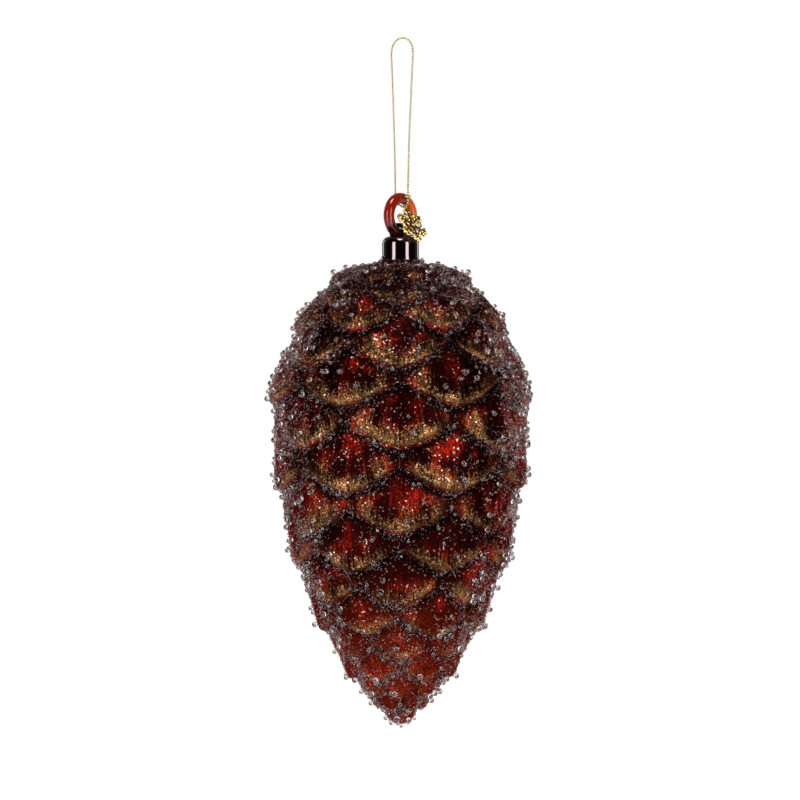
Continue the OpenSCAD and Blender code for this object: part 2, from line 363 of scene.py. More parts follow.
def scaleTree(meridianObject):
    # bends a flat box into every scale, each laid along the meridian at its own angle
    c, form = coneSettings, scaleForm
    halfAngle = math.radians(c["spread"] * 180 / c["perRow"])
    tree = Tree("coneScales", Meridian=meridianObject, **scaleSettings)
    box = tree.node("GeometryNodeMeshCube", {
        "Size": (2, 1, 1), "Vertices X": tree.num("Columns"), "Vertices Y": tree.num("Rows"),
        "Vertices Z": 2})
    place = tree.node("ShaderNodeSeparateXYZ", {"Vector": tree.node("GeometryNodeInputPosition").outputs[0]})
    rawX, rawY, rawZ = (Num(tree.tree, place.outputs[i]) for i in range(3))
    # columns lie closer at the sides and rows closer at the free edge
    bunch = form["columnBunch"] * math.pi
    shape = tree.store(box.outputs["Mesh"], "across", (rawX * bunch).sine() / math.sin(bunch))
    shape = tree.store(shape, "along", 1 - (0.5 - rawY).atLeast(0.0) ** form["rowBunch"])
    shape = tree.store(shape, "skin", rawZ + 0.5)
    spread = tree.node("GeometryNodeInstanceOnPoints",
                       {"Points": tree.start.outputs["Geometry"], "Instance": shape})
    whole = tree.node("GeometryNodeRealizeInstances", {"Geometry": spread.outputs[0]}).outputs[0]

    x, y, skin = (tree.attribute(name) for name in ("across", "along", "skin"))
    angle, tip, pitch, own, stand = (tree.attribute(name) for name in scaleFields)
    start = (tip - tree.num("Reach") * pitch).atLeast(tree.num("Crown Clear"))
    stepX, stepY, stepOwn = form["noiseSteps"]
    where = tree.node("ShaderNodeCombineXYZ", {"X": x * stepX, "Y": y * stepY, "Z": own * stepOwn})
    rough = tree.node("ShaderNodeTexNoise", {
        "Vector": where.outputs[0], "Scale": form["noiseScale"], "Detail": form["noiseDetail"]})
    wobble = Num(tree.tree, rough.outputs[0]) - 0.5
    sag = tree.num("Sag") * pitch * x.size() ** tree.num("Sag Power")
    edge = tip - sag + wobble * form["edgeWobble"] * pitch * y.ramp(0.5, 1.0)
    s = start + (edge - start) * y
    curve = tree.node("GeometryNodeObjectInfo", {"Object": tree.start.outputs["Meridian"]})
    sample = tree.node("GeometryNodeSampleCurve", {"Curves": curve.outputs["Geometry"], "Length": s * mm},
                       mode="LENGTH", use_all_curves=True)
    spot = tree.node("ShaderNodeSeparateXYZ", {"Vector": sample.outputs["Position"]})
    slope = tree.node("ShaderNodeSeparateXYZ", {"Vector": sample.outputs["Tangent"]})
    radius = Num(tree.tree, spot.outputs[0]) / mm
    height = Num(tree.tree, spot.outputs[2]) / mm
    outR = 0.0 - Num(tree.tree, slope.outputs[2])
    outZ = Num(tree.tree, slope.outputs[0])

    share = tree.num("Small Share")
    rise = tree.num("Rise") * (share + (1 - share) * radius / tree.num("Small Row")).atMost(1.0)
    lipWidth = tree.num("Lip Width")
    fromEdge = (edge - start) * (1 - y)
    fromSide = (1 - x.size()) * halfAngle * radius

    def lip(distance):
        near = (1 - distance / lipWidth).atLeast(0.0)
        return form["lipFoot"] + (1 - form["lipFoot"]) * (1 - near ** 2.0).atLeast(0.0) ** 0.5

    root = tree.num("Root Share")
    fan = x / (form["fanRoot"] + (1 - form["fanRoot"]) * y)
    ribs = (fan * tree.num("Ribs") * math.pi + wobble * form["ribWobble"]).cosine() * tree.num("Rib Depth")
    ridge = tree.num("Ridge") * (1 - (x.size() * form["ridgeNarrow"]).atMost(1.0))
    ridge = ridge * (1 - y.ramp(*form["ridgeEnd"]))
    fade = y.ramp(*form["ribStart"]) * (radius / form["fullRibRadius"]).atMost(1.0)
    proud = rise + tree.num("Row Stand") * stand * (radius / tree.num("Small Row")).atMost(1.0)
    full = proud * (root + (1 - root) * y) * (1 - tree.num("Side Fall") * x.size() ** 2.0)
    top = (full + (ribs + ridge + wobble * form["skinWobble"]) * fade) * lip(fromEdge) * lip(fromSide)
    inner = (full - tree.num("Lip Thickness")).atLeast(form["leastUnder"]) * form["underShare"]
    under = (0.0 - tree.num("Sink")).blendTo(inner, y.ramp(*form["underStart"]))
    lift = under + (top - under) * skin - rise

    ringRadius = (radius + outR * lift).atLeast(form["leastRadius"])
    turn = angle + x * halfAngle
    position = tree.node("ShaderNodeCombineXYZ", {
        "X": ringRadius * turn.cosine() * mm, "Y": ringRadius * turn.sine() * mm,
        "Z": (height + outZ * lift + c["seatZ"]) * mm})
    bent = tree.node("GeometryNodeSetPosition", {"Geometry": whole, "Position": position.outputs[0]})
    tree.finish(bent.outputs[0])
    return tree


def pointCloud(table):
    mesh = bpy.data.meshes.new("scalePlaces")
    mesh.from_pydata([(0, 0, 0)] * len(table), [], [])
    for column, name in enumerate(scaleFields):
        storeValues(mesh, name, table[:, column])
    return linked("scalePlaces", mesh)


def meridianCurve():
    return lineCurve("meridianLine", [(r * mm, 0, z * mm) for r, z in meridian])


def coreProfile(c, s):
    # the core lies one rise below the scales' tips
    outline = []
    end = meridianRun[-1]
    for run in np.arange(s["Crown Clear"], end, c["coreStep"]):
        ahead, behind = min(run + c["slopeReach"], end), max(run - c["slopeReach"], 0)
        slope = np.array([radiusAt(ahead) - radiusAt(behind), heightAt(ahead) - heightAt(behind)])
        outward = np.array([-slope[1], slope[0]]) / np.linalg.norm(slope)
        rise = s["Rise"] * min(1, s["Small Share"] + (1 - s["Small Share"]) * radiusAt(run) / s["Small Row"])
        radius = max(0.1, radiusAt(run) - outward[0] * rise)
        outline.append((radius, heightAt(run) - outward[1] * rise + c["seatZ"]))
    return [(0, outline[0][1])] + outline + [(0, outline[-1][1])]


def crownProfile(top, s):
    # the seat of the cap and the neck inside it
    neckTop = top + s["neckHeight"]
    return [(0, top - s["depth"]), (s["footRadius"], top - s["depth"]), (s["rimRadius"], top - s["rimDrop"]),
            (s["seatRadius"], top), (s["neckRadius"], top), (s["neckRadius"], neckTop - s["neckBevel"]),
            (s["neckRadius"] - s["neckBevel"], neckTop), (0, neckTop)]


def budProfile(radius, steps):
    # a ball at the cone's tip, closed on the axis at both ends
    ball = [(radius * math.sin(math.pi * k / steps), -radius * math.cos(math.pi * k / steps))
            for k in range(1, steps)]
    return [(0.0, -radius)] + ball + [(0.0, radius)]


def inMetres(profile):
    return [(r * mm, z * mm) for r, z in profile]


def joined(name, parts):
    mesh = bmesh.new()
    for part in parts:
        mesh.from_mesh(part.data)
        dropObject(part)
    return linkedMesh(name, mesh)


def oneSkin(body, voxel, triangles):
    # a moulded shell is one closed skin, so the overlapping scales are fused and thinned to a fixed count
    fuse = body.modifiers.new("fuse", "REMESH")
    fuse.mode = "VOXEL"
    fuse.voxel_size = voxel * mm
    evaluated = body.evaluated_get(bpy.context.evaluated_depsgraph_get())
    fused = bpy.data.meshes.new_from_object(evaluated)
    body.modifiers.clear()
    body.data = fused
    thin = body.modifiers.new("thin", "DECIMATE")
    thin.ratio = triangles / countTriangles(body)
    evaluated = body.evaluated_get(bpy.context.evaluated_depsgraph_get())
    body.data = bpy.data.meshes.new_from_object(evaluated)
    body.modifiers.clear()
    bpy.data.meshes.remove(fused)


def edgeRun(tip, pitch, x):
    return tip - scaleSettings["Sag"] * pitch * np.abs(x) ** scaleSettings["Sag Power"]


def markScales(body, table):
    # gives each point its place on its scale, its distances to that scale's edge and to the edge above it,
    # and its run along the meridian
    c, s = coneSettings, scaleSettings
    lowest, farAway, edgeMargin, samples = -1e9, 99.0, 1.03, 1600
    co = readPoints(body.data) / mm
    radius = np.hypot(co[:, 0], co[:, 1])
    angle = np.arctan2(co[:, 1], co[:, 0])
    runs = np.linspace(0, meridianRun[-1], samples)
    tree = kdtree.KDTree(len(runs))
    for i, run in enumerate(runs):
        tree.insert((radiusAt(run), heightAt(run), 0), i)
    tree.balance()
    depth = co[:, 2] - c["seatZ"]
    found = [tree.find((r, z, 0)) for r, z in zip(radius, depth)]
    run = runs[[f[1] for f in found]]
    below = np.array([f[2] for f in found])
    halfAngle = math.radians(c["spread"] * 180 / c["perRow"])
    best = np.full(len(co), lowest)
    across, along, number, toEdge = (np.zeros(len(co)) for _ in range(4))
    crack = np.full(len(co), farAway)
    for turn, tip, pitch, own, _ in table:
        x = (np.mod(angle - turn + math.pi, 2 * math.pi) - math.pi) / halfAngle
        edge = edgeRun(tip, pitch, np.clip(x, -1, 1))
        start = max(s["Crown Clear"], tip - s["Reach"] * pitch)
        y = (run - start) / (edge - start)
        onScale = (np.abs(x) < 1.0) & (y < edgeMargin) & (y > 0)
        height = np.where(onScale, y * (1 - s["Side Fall"] * np.abs(x) ** 2.0), lowest)
        better = height > best
        best[better] = height[better]
        across[better], along[better], number[better] = x[better], y[better], own
        toEdge[better] = (edge - run)[better]
        crack = np.minimum(crack, np.where((np.abs(x) < 1.0) & (run > edge), run - edge, farAway))
    for name, values in (("across", across), ("along", along), ("scaleNumber", number), ("crack", crack),
                         ("toEdge", toEdge), ("run", run)):
        storeValues(body.data, name, values)
    return {"crack": crack, "toEdge": toEdge, "run": run, "below": below, "turn": angle}


# materials
class Paint(Nodes):
    # a material with a Principled shader whose inputs are set by name
    def __init__(self, name, **inputs):
        self.material = bpy.data.materials.new(name)
        self.material.use_nodes = True
        self.tree = self.material.node_tree
        self.shader = self.tree.nodes["Principled BSDF"]
        self.set(self.shader, inputs)
        self.coordinates = self.tree.nodes.new("ShaderNodeTexCoord").outputs["Object"]

    def attribute(self, name):
        return Num(self.tree, self.node("ShaderNodeAttribute", attribute_name=name).outputs["Fac"])

    def point(self, x, y, z):
        return self.node("ShaderNodeCombineXYZ", {"X": x, "Y": y, "Z": z}).outputs[0]

    def noise(self, scale, detail, vector=None, **more):
        made = self.node("ShaderNodeTexNoise", {
            "Vector": vector or self.coordinates, "Scale": scale, "Detail": detail, **more})
        return Num(self.tree, made.outputs[0])

    def cells(self, scale):
        # a number between 0 and 1 for each cell
        made = self.node("ShaderNodeTexVoronoi", {"Vector": self.coordinates, "Scale": scale})
        grey = self.node("ShaderNodeSeparateXYZ", {"Vector": made.outputs["Color"]})
        return Num(self.tree, grey.outputs[0])

    def tilted(self, scale, tilt, normal):
        # metal flakes, each lying at an angle of its own
        made = self.node("ShaderNodeTexVoronoi", {"Vector": self.coordinates, "Scale": scale})
        middle = self.vector("SUBTRACT", {0: made.outputs["Color"], 1: (0.5, 0.5, 0.5)})
        lean = self.vector("SCALE", {0: middle, "Scale": tilt})
        return self.vector("NORMALIZE", {0: self.vector("ADD", {0: normal, 1: lean})})

    def mix(self, share, low, high):
        # inputs 6 and 7 and output 2 are the node's colours
        return self.node("ShaderNodeMix", {0: share, 6: low, 7: high}, data_type="RGBA").outputs[2]

    def bump(self, height, distance, strength):
        inputs = {"Height": height, "Distance": distance, "Strength": strength}
        return self.node("ShaderNodeBump", inputs).outputs[0]


# painted light and shade: maroon and red are the shaded and lit ends of the scales' colour, spark and bright
# are painted glints, and crack is the near-black of painted shade under the edges, also used for flakes
# painted dark and for dark frost crystals
coneColours = {
    "maroon": (0.030, 0.001, 0.001), "red": (0.50, 0.019, 0.008), "ember": (0.78, 0.060, 0.016),
    "spark": (1.0, 0.70, 0.58), "gold": (0.50, 0.24, 0.07), "bright": (0.95, 0.66, 0.34),
    "crack": (0.002, 0.001, 0.001), "frost": (0.38, 0.22, 0.22),
}
# sizes of noise and cells, and where along the meridian, in millimetres, the looks change
coneLook = {
    "streakSteps": (24.0, 2.4, 5.3), "patchScale": 110.0, "grainScale": 1500.0, "flakeCells": 2800.0,
    "flakeTilt": 0.3, "paintedSparkleCells": 2100.0, "paintedSparkleShare": (0.965, 0.975), "sugarCells": 2700.0,
    "shadeCells": 1900.0, "crownRun": (30.0, 80.0), "emberRun": (120.0, 165.0), "lessGoldRun": (140.0, 165.0),
    "lessDarkRun": (115.0, 165.0), "goldLine": (0.80, 0.99), "paintedShadeWidth": (1.0, 4.2),
}
partColours = {
    "capDark": (0.0008, 0.0001, 0.0002), "capLight": (0.003, 0.0002, 0.0003),
    "ringFoot": (0.02, 0.001, 0.001), "ringRed": (0.22, 0.010, 0.002), "ringAmber": (0.80, 0.14, 0.012),
    "threadGold": (0.66, 0.53, 0.20), "threadBright": (1.0, 0.90, 0.52), "threadDark": (0.06, 0.045, 0.01),
    "goldBrown": (0.34, 0.16, 0.03), "goldBright": (1.0, 0.71, 0.25),
    "beadGlass": (0.82, 0.76, 0.76), "grainGlass": (0.76, 0.60, 0.58), "frostGlass": (0.70, 0.46, 0.44),
}


def conePaint(colours, look):
    paint = Paint("metallicScales", Sheen_Weight=0.05, Sheen_Roughness=0.35, Sheen_Tint=(0.9, 0.72, 0.68),
                  Specular_Tint=(0.75, 0.4, 0.36))
    across, along, number = (paint.attribute(name) for name in ("across", "along", "scaleNumber"))
    crack, toEdge, run, frost = (paint.attribute(name) for name in ("crack", "toEdge", "run", "frostCover"))
    fan = across / (0.3 + 0.7 * along)
    stepX, stepY, stepOwn = look["streakSteps"]
    streak = paint.noise(1.0, 3.0, paint.point(fan * stepX, along * stepY, number * stepOwn))
    patch = paint.noise(look["patchScale"], 1.0)
    grain = paint.noise(look["grainScale"], 2.0)
    flake = paint.cells(look["flakeCells"])
    # painted light and shade: lit is brighter towards the lower middle of each scale and darker at its top
    # and sides, in random patches
    lit = (patch * 2.2 - 1.08 + (streak - 0.5) * 0.8 + along * 0.45 - across.size() * 0.3).ramp(0.1, 0.85)
    # painted shade makes the upper rows darker and gives them less gold, and the rows near the tip are a
    # brighter red, most where the painted light falls
    shaded = 1.0 - run.ramp(*look["crownRun"])
    base = paint.mix(lit * (1.0 - shaded * 0.4), colours["maroon"], colours["red"])
    base = paint.mix(run.ramp(*look["emberRun"]) * 0.75 * lit.atLeast(0.4), base, colours["ember"])
    # gold lies on the middle of each free edge
    goldLine = along + (streak - 0.5) * 0.5 + (grain - 0.5) * 0.3 + (patch - 0.5) * 0.5
    goldShare = goldLine.ramp(*look["goldLine"]) * toEdge.ramp(0.2, 1.8)
    goldShare = goldShare * (1.0 - run.ramp(*look["lessGoldRun"]) * 0.6)
    goldShare = goldShare * (1.0 - across.size().ramp(0.45, 0.85)) * (1.0 - shaded * 0.4)
    # painted glints: in the gold, some flakes are painted a brighter gold, as if they caught the light
    base = paint.mix(goldShare, base, paint.mix(flake.ramp(0.7, 1.0), colours["gold"], colours["bright"]))
    # painted glints: each flake is painted bright or dark as if it caught the light or not, and in the gold
    # some streaks are darker
    glint = 0.22 + 0.78 * flake ** 2.0
    darkStreak = (streak - 0.5).ramp(-0.1, 0.12)
    glint = glint.blendTo((0.25 + 0.75 * flake) * (1.0 - darkStreak * 0.9), goldShare)
    base = paint.mix(glint, colours["crack"], base)
    # painted glints: a few cells are painted near white, more brightly where the painted light falls
    paintedSparkle = paint.cells(look["paintedSparkleCells"]).ramp(*look["paintedSparkleShare"])
    base = paint.mix(paintedSparkle * (0.15 + 0.85 * lit), base, colours["spark"])
    # painted shade: dark under the edge of the scale above, and less so near the tip
    dark = (1.0 - (crack + (grain - 0.5) * 1.6).ramp(*look["paintedShadeWidth"]))
    dark = dark * (0.97 - run.ramp(*look["lessDarkRun"]) * 0.6)
    base = paint.mix(dark.atMost(1.0), base, colours["crack"])
    # frost in crystals of different tones; on the sides that the camera sees edge-on its cover is thicker, as
    # painted sheen
    sugarShare = (frost * 1.1 - paint.cells(look["sugarCells"])).ramp(0.0, 0.06)
    shade = paint.cells(look["shadeCells"])
    base = paint.mix(sugarShare, base, paint.mix(shade ** 2.0, colours["crack"], colours["frost"]))
    paint.set(paint.shader, {"Base_Color": base, "Roughness": (0.16 + 0.18 * grain).blendTo(0.35, sugarShare),
                             "Metallic": 1.0 - sugarShare})
    fine = paint.bump(grain + streak + sugarShare * 1.5, 0.0005, 0.5)
    paint.set(paint.shader, {"Normal": paint.tilted(look["flakeCells"], look["flakeTilt"], fine)})
    return paint.material


def glassPaint(name, tint, roughness, transmission, speckle):
    paint = Paint(name, Metallic=0.0, Roughness=roughness, IOR=1.85, Transmission_Weight=transmission)
    cloud = paint.noise(speckle, 2.0)
    lighter = tuple(min(1, t * 1.18) for t in tint)
    paint.set(paint.shader, {"Base_Color": paint.mix(cloud.ramp(0.3, 0.7), tint, lighter),
                             "Normal": paint.bump(cloud, 0.0001, 0.3)})
    return paint.material


def capPaint(colours):
    paint = Paint("maroonLacquer", Metallic=0.0, IOR=2.2, Specular_Tint=(1.0, 0.80, 0.83))
    smear = paint.noise(260.0, 3.0)
    paint.set(paint.shader, {"Base_Color": paint.mix(smear, colours["capDark"], colours["capLight"]),
                             "Roughness": 0.05 + 0.05 * smear, "Normal": paint.bump(smear, 0.0001, 0.1)})
    return paint.material


def ringPaint(colours, ringFoot, ringWidth):
    # painted shade and light: dark at its foot, as shade next to the cap, and from red on one side to orange
    # towards its top and other side, as light glowing through the resin
    paint = Paint("amberResin", Metallic=0.0, IOR=1.5, Transmission_Weight=0.1)
    spot = paint.node("ShaderNodeSeparateXYZ", {"Vector": paint.coordinates})
    upward = (Num(paint.tree, spot.outputs[2]) / mm - ringFoot) / ringWidth
    sideways = Num(paint.tree, spot.outputs[0]) / mm / ringWidth
    swirl = paint.noise(260.0, 3.0, Distortion=0.8)
    # painted light: brighter towards one side, with swirls
    glow = sideways * 1.1 + 0.35 + (swirl - 0.5) * 0.8
    amber = paint.mix(glow.ramp(0.2, 0.9), colours["ringRed"], colours["ringAmber"])
    # painted shade at the foot
    foot = (upward + (swirl - 0.5) * 0.3).ramp(0.0, 0.3)
    paint.set(paint.shader, {"Base_Color": paint.mix(foot, colours["ringFoot"], amber),
                             "Roughness": 0.03 + 0.06 * swirl, "Normal": paint.bump(swirl, 0.0002, 0.1)})
    return paint.material


def threadPaint(colours):
    paint = Paint("goldThread", Metallic=0.3)
    twist = paint.attribute("strand")
    run = paint.attribute("alongThread")
    fibre = paint.noise(1.0, 2.0, paint.point(run * 900.0, twist * 7.0, 0.0))
    # the dark thread that is wound in shows once in each half turn
    wound = (run * (4 * math.pi / threadSettings["twistPitch"])).sine().ramp(0.0, 0.4)
    gold = paint.mix(fibre.ramp(0.3, 0.7), colours["threadGold"], colours["threadBright"])
    paint.set(paint.shader, {"Base_Color": paint.mix(wound, gold, colours["threadDark"]),
                             "Roughness": 0.3 + 0.25 * fibre, "Normal": paint.bump(fibre, 0.00006, 0.6)})
    return paint.material


def goldPaint(colours):
    # polished gold with patches of brown at random
    paint = Paint("castGold", Metallic=1.0)
    flakes, tilt = 900.0, 0.12
    brownPatch = paint.noise(flakes, 3.0)
    gold = paint.mix(brownPatch.ramp(0.28, 0.5), colours["goldBrown"], colours["goldBright"])
    paint.set(paint.shader, {"Base_Color": gold, "Roughness": 0.1 + 0.14 * brownPatch,
                             "Normal": paint.tilted(flakes, tilt, paint.bump(brownPatch, 0.0002, 0.5))})
    return paint.material


# the snowflake: sizes in millimetres and its lean, as in the part's source
flakeSettings = {
    "radius": 6.2, "reach": 0.5, "lean": -28.0, "arms": 6, "armStart": 0.2, "arm": 0.85, "armTip": 0.55,
    "ridge": 0.62, "tipRidge": 0.75, "bead": 0.78, "hub": 1.2, "barbs": ((0.44, 0.32), (0.72, 0.22)),
    "barbTurn": 60, "barb": 0.45, "barbRoot": 1.15, "barbRidges": (0.85, 0.65), "barbBead": 0.55,
    "eye": 0.875, "eyeWall": 0.27, "eyeSteps": 28, "eyeSides": 10, "voxel": 0.1, "triangles": 16000,
    "sharpAngle": 35,
}


def ridgedBar(mesh, start, end, widths, heights):
    # eight-sided bar with a flat ridge in front and behind, from start to end in the snowflake's plane
    axis = (end - start).normalized()
    side = axis.cross(Vector((0, 1, 0)))
    ridge, rim = 0.22, 0.35
    rings = []
    for place, w, h in zip((start, end), widths, heights):
        outline = ((w, rim * h), (ridge * w, h), (-ridge * w, h), (-w, rim * h),
                   (-w, -rim * h), (-ridge * w, -h), (ridge * w, -h), (w, -rim * h))
        rings.append([mesh.verts.new(place + side * u + Vector((0, v, 0))) for u, v in outline])
    count = len(rings[0])
    for k in range(count):
        n = (k + 1) % count
        mesh.faces.new((rings[0][k], rings[0][n], rings[1][n], rings[1][k]))
    mesh.faces.new(rings[0][::-1])
    mesh.faces.new(rings[1])


def outwardAt(turn):
    # the direction in the snowflake's plane at this turn from its top
    return Vector((math.sin(turn), 0, math.cos(turn)))


def eyelet(mesh, eye, s):
    around, sides = s["eyeSteps"], s["eyeSides"]
    rings = []
    for k in range(around):
        outward = outwardAt(2 * math.pi * k / around)
        ring = []
        for j in range(sides):
            lean = 2 * math.pi * j / sides
            reach = outward * (s["eye"] + s["eyeWall"] * math.cos(lean))
            ring.append(mesh.verts.new(eye + reach + Vector((0, s["eyeWall"] * math.sin(lean), 0))))
        rings.append(ring)
    for k in range(around):
        ring, following = rings[k], rings[(k + 1) % around]
        for j in range(sides):
            n = (j + 1) % sides
            mesh.faces.new((ring[j], ring[n], following[n], following[j]))


def makeSnowflake(material):
    s = flakeSettings
    mesh = bmesh.new()
    balls = [(Vector((0, 0, 0)), s["hub"] * s["bead"])]
    for arm in range(s["arms"]):
        outward = outwardAt(math.radians(360 / s["arms"] * arm))
        ridgedBar(mesh, outward * s["armStart"], outward * s["radius"], (s["arm"], s["armTip"]),
                  (s["ridge"], s["ridge"] * s["tipRidge"]))
        # the first arm carries the eyelet in place of a bead
        if arm:
            balls.append((outward * (s["radius"] - s["bead"]), s["bead"]))
        for share, reach in s["barbs"]:
            root = outward * (share * s["radius"])
            for hand in (-s["barbTurn"], s["barbTurn"]):
                branch = Matrix.Rotation(math.radians(hand), 3, "Y") @ outward
                tip = root + branch * (reach * s["radius"])
                ridgedBar(mesh, root, tip, (s["barb"] * s["barbRoot"], s["barb"]),
                          [s["ridge"] * ridge for ridge in s["barbRidges"]])
                balls.append((tip, s["barbBead"]))
    for place, radius in balls:
        bmesh.ops.create_icosphere(mesh, subdivisions=2, radius=radius, matrix=Matrix.Translation(place))
    eye = Vector((0, 0, s["radius"] + s["reach"]))
    eyelet(mesh, eye, s)
    bmesh.ops.recalc_face_normals(mesh, faces=mesh.faces)
    place = Matrix.Translation(Vector(flakeHang)) @ Matrix.Rotation(math.radians(s["lean"]), 4, "X")
    bmesh.ops.transform(mesh, verts=mesh.verts, matrix=Matrix.Scale(mm, 4) @ place @ Matrix.Translation(-eye))
    flake = linkedMesh("snowflake", mesh)
    oneSkin(flake, s["voxel"], s["triangles"])
    sharpen(flake, s["sharpAngle"])
    flake.data.materials.append(material)
    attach(flake, "root")
    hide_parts("snowflake_charm")
    print("snowflake", countTriangles(flake), "triangles")
    return flake


# the thread: its route in millimetres, as in the part's source
threadSettings = {
    "diameter": 0.0006, "twistPitch": 0.00174, "strands": 2, "strandOffset": 0.2, "strandRadius": 0.31,
    "stepsPerTwist": 9.0, "sides": 6, "routeStep": 0.5, "knotRadius": 1.15, "knotShare": 0.27,
    "knotDepth": 0.9, "knotSwell": 1.05, "knotSteps": 90,
}
knotPlace = (0.0, -3.15, 2.1)
flakeHang = (0.0, -1.7, -1.05)
threadRoute = [
    (0, -3.15, 3.28), (0, -3.2, 6), (0, -3.4, 14), (0, -3.8, 24), (0, -4.5, 36), (0, -5.1, 46),
    (0, -5.2, 48.5), (0, -4.6, 51), (0, -2.9, 52.7), (0, -0.7, 53.2), (0, 1.5, 52.7), (0, 3.2, 51),
    (0, 3.8, 48.5), (0, 3.7, 46), (0, 3.2, 36), (0, 2.7, 24), (0, 2.35, 14), (0, 2.2, 6), (0, 2.15, 3),
    (0, 2.15, 1.75), (0, 1.9, 0.75), (0, 1.15, -0.15), (0, 0.1, -0.55), (0, -0.8, -1.05), flakeHang,
    (0, -2.6, -0.5), (0, -3.1, 0.25), (0, -3.15, 0.92)]


def smoothRoute(points, step):
    # a smooth line through the points, like the source's, with a point about every step
    p = np.array(points, float)
    line = []
    for i in range(len(p) - 1):
        a, b, c, d = p[max(0, i - 1)], p[i], p[i + 1], p[min(len(p) - 1, i + 2)]
        steps = max(1, math.ceil(np.linalg.norm(c - b) / step))
        for j in range(steps):
            t = j / steps
            curved = (2 * a - 5 * b + 4 * c - d) * t * t + (3 * b - a - 3 * c + d) * t ** 3
            line.append(0.5 * (2 * b + (c - a) * t + curved))
    line.append(p[-1])
    return np.array(line)


def lineCurve(name, points):
    curve = bpy.data.curves.new(name, "CURVE")
    curve.dimensions = "3D"
    line = curve.splines.new("POLY")
    line.points.add(len(points) - 1)
    for point, place in zip(line.points, points):
        point.co = (*place, 1)
    return linked(name, curve)


def twistTree(name, material, diameter, s):
    # strands wound round each other along the curve that the tree runs on
    tree = Tree(name, **{"Diameter": diameter, "Twist Pitch": s["twistPitch"], "Sides": s["sides"],
                         "Material": material})
    fine = tree.node("GeometryNodeResampleCurve", {
        "Curve": tree.start.outputs["Geometry"], "Length": tree.num("Twist Pitch") / s["stepsPerTwist"]},
        mode="LENGTH")
    run = Num(tree.tree, tree.node("GeometryNodeSplineParameter").outputs["Length"])
    normal = tree.node("GeometryNodeInputNormal").outputs[0]
    tangent = tree.node("GeometryNodeInputTangent").outputs[0]
    across = tree.vector("CROSS_PRODUCT", {0: normal, 1: tangent})
    together = tree.node("GeometryNodeJoinGeometry")
    radius = tree.num("Diameter") * s["strandOffset"]
    for k in range(s["strands"]):
        angle = run / tree.num("Twist Pitch") * (2 * math.pi) + 2 * math.pi * k / s["strands"]
        first = tree.vector("SCALE", {0: normal, "Scale": angle.cosine() * radius})
        second = tree.vector("SCALE", {0: across, "Scale": angle.sine() * radius})
        held = tree.store(fine.outputs[0], "alongThread", run)
        held = tree.store(held, "strand", k / s["strands"])
        moved = tree.node("GeometryNodeSetPosition", {
            "Geometry": held, "Offset": tree.vector("ADD", {0: first, 1: second})})
        tree.tree.links.new(moved.outputs[0], together.inputs[0])
    ring = tree.node("GeometryNodeCurvePrimitiveCircle", {
        "Resolution": tree.num("Sides"), "Radius": tree.num("Diameter") * s["strandRadius"]})
    tube = tree.node("GeometryNodeCurveToMesh", {
        "Curve": together.outputs[0], "Profile Curve": ring.outputs[0], "Fill Caps": True})
    tree.finishSmooth(tube.outputs[0])
    return tree


def grown(tree, seed, name):
    # the tree's result on a seed object, which is then taken away
    made = tree.apply(seed, name)
    dropObject(seed)
    return made


def makeThread(material, charm):
    s = threadSettings
    route = smoothRoute(threadRoute, s["routeStep"]) * mm
    tree = twistTree("twistedThread", material, s["diameter"], s)
    thread = grown(tree, lineCurve("threadLine", route), "twistedThread")
    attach(thread, "root")
    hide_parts("hanging_thread")
    # the knot is the same thread drawn up
    turns = np.linspace(0, 2 * math.pi, s["knotSteps"])
    scale = s["knotRadius"] * s["knotShare"]
    knotLine = np.c_[(np.sin(turns) + 2 * np.sin(2 * turns)) * scale,
                     -np.sin(3 * turns) * scale * s["knotDepth"],
                     (np.cos(turns) - 2 * np.cos(2 * turns)) * scale] + np.array(knotPlace)
    knotTree = twistTree("knotStrands", material, s["diameter"] * s["knotSwell"], s)
    knot = grown(knotTree, lineCurve("knotLine", knotLine * mm), "threadKnot")
    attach(knot, "root")
    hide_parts("thread_knot")
    run = float(np.sum(np.linalg.norm(np.diff(route, axis=0), axis=1)))
    print("thread", round(run * 1000, 1), "mm long,", countTriangles(thread), "triangles")


# grains of glass scattered over the scales
grainSettings = {
    "glassBeads": {"Density": 200000.0, "Spacing": 0.0016, "Smallest": 0.0005, "Largest": 0.001,
                   "Sunk": 0.2, "Seed": 4, "Ico": 2},
    "glassGrains": {"Density": 480000.0, "Spacing": 0.0008, "Smallest": 0.0003, "Largest": 0.00055,
                    "Sunk": 0.25, "Seed": 11, "Ico": 1},
    "frostGrains": {"Density": 2400000.0, "Spacing": 0.00042, "Smallest": 0.0002, "Largest": 0.00036,
                    "Sunk": 0.35, "Seed": 23, "Ico": 0},
}
# how thickly each kind lies in the zones of the cone, and how clumps change that: the least and the gain
coverZones = ("even", "shoulder", "crack", "edge", "upper", "flank", "lower", "lowerCrack")
coverSettings = {
    "beadShare": ((0.04, 0.06, 0.3, 0.15, 0.1, 0.15, 0, 0), 0.3, 1.4),
    "grainShare": ((0.04, 0, 0.2, 0.15, 0.1, 0.13, 0.05, 0), 0.3, 1.4),
    "frostShare": ((0.05, 0, 0.14, 0.08, 0.08, 0.22, 0.1, 0), 0.5, 1.0),
    "frostCover": ((0.02, 0, 0.1, 0.08, 0.03, 0.16, 0, 1), 0.4, 1.0),
}


